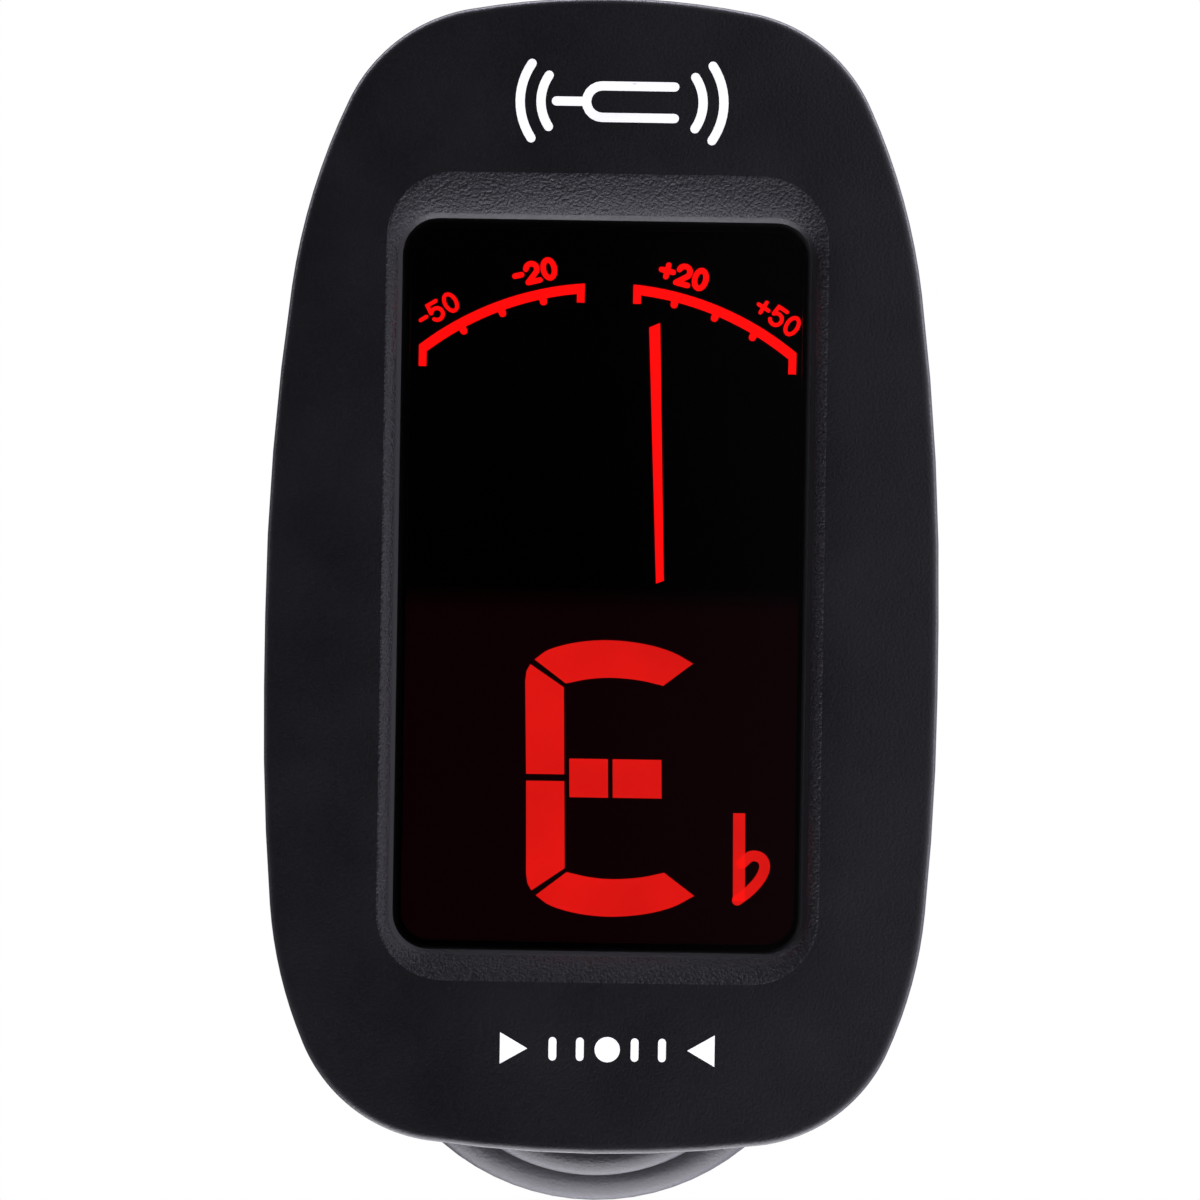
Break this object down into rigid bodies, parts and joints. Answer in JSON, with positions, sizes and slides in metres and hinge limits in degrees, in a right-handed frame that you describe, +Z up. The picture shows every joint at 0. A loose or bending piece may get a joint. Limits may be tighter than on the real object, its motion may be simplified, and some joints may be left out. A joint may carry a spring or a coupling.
{
  "type": "clip-on tuner",
  "caption": "Pocket instrument tuner with a rounded display head that tilts and swivels on a sprung clip.",
  "frame": {"origin": "middle of the gripping face of the front jaw's pad", "axes": "+Z up along the clip towards the jaw tips, -Y out of the display, +X to the viewer's right; the head is at rest folded up in front of the closed clip"},
  "size_m": [0.031, 0.0385, 0.0567],
  "materials": {
    "black_plastic": "fine moulded grain, satin black",
    "door_plastic": "fine moulded grain, satin black",
    "hinge_plastic": "satin black",
    "clip_plastic": "satin black",
    "dark_lens": "glossy smoked acrylic",
    "tape": "black adhesive foam",
    "lcd_glass": "polarised glass",
    "white_plastic": "white acrylic and ABS",
    "red_lamp": "red lamp resin",
    "zebra_rubber": "conductive silicone strip",
    "board": "green solder mask on glass fibre",
    "chip": "black moulded epoxy",
    "steel": "plain steel",
    "screw_steel": "blackened steel",
    "spring_steel": "nickel-plated spring wire",
    "cell_steel": "nickel-plated cell can",
    "contact_steel": "sprung contact strip",
    "brass": "brass sounder plate",
    "ceramic": "silvered ceramic",
    "red_wire": "insulated lead",
    "black_wire": "insulated lead",
    "button_rubber": "dark grey rubber",
    "pad_rubber": "ribbed black rubber"
  },
  "bodies": {
    "clip": {"front_jaw": "clip_plastic", "front_pad": "pad_rubber", "clip_pin": "steel", "clip_spring": "spring_steel"},
    "rear_jaw": {"rear_jaw": "clip_plastic", "rear_pad": "pad_rubber"},
    "swivel": {"swivel_disc": "hinge_plastic", "swivel_wave_washer": "steel", "swivel_washer": "steel", "swivel_screw": "screw_steel", "tilt_washer_left": "steel", "tilt_washer_right": "steel"},
    "head": {"front_shell": "black_plastic", "display_lens": "dark_lens", "lens_tape": "tape", "lcd_front_glass": "lcd_glass", "lcd_rear_glass": "lcd_glass", "lcd_frame": "white_plastic", "light_guide": "white_plastic", "backlight_led_left": "red_lamp", "backlight_led_right": "red_lamp", "zebra_strip": "zebra_rubber", "circuit_board": "board", "tuner_chip": "chip", "crystal": "steel", "power_switch": "chip", "battery": "cell_steel", "battery_contact_plus": "contact_steel", "battery_contact_minus": "contact_steel", "piezo_plate": "brass", "piezo_ceramic": "ceramic", "piezo_lead_red": "red_wire", "piezo_lead_black": "black_wire", "rear_shell": "black_plastic", "tilt_pin": "steel", "housing_screw_1": "screw_steel", "housing_screw_2": "screw_steel", "housing_screw_3": "screw_steel", "housing_screw_4": "screw_steel"},
    "button": {"power_button": "button_rubber", "switch_plunger": "chip"},
    "door": {"battery_door": "door_plastic"}
  },
  "joints": [
    {"name": "jaw_open", "type": "hinge", "parent": "clip", "child": "rear_jaw", "pos_m": [0, 0.0027, -0.021], "axis": [-1, 0, 0], "range_deg": [0, 30], "stiffness_Nm_per_rad": 0.12, "springref_deg": -57.3, "deforming": ["clip_spring"]},
    {"name": "clip_swivel", "type": "hinge", "parent": "clip", "child": "swivel", "pos_m": [0, -0.0059, -0.0274], "axis": [0, 1, 0], "continuous": true},
    {"name": "head_tilt", "type": "hinge", "parent": "swivel", "child": "head", "pos_m": [0, -0.0104, -0.031], "axis": [1, 0, 0], "range_deg": [-10, 90]},
    {"name": "power_button_press", "type": "slide", "parent": "head", "child": "button", "axis": [0, -1, 0], "range_m": [0, 0.0004], "stiffness_N_per_m": 1500, "springref_m": -0.0002},
    {"name": "battery_door_slide", "type": "slide", "parent": "head", "child": "door", "axis": [0, 0, 1], "range_m": [0, 0.024]}
  ]
}
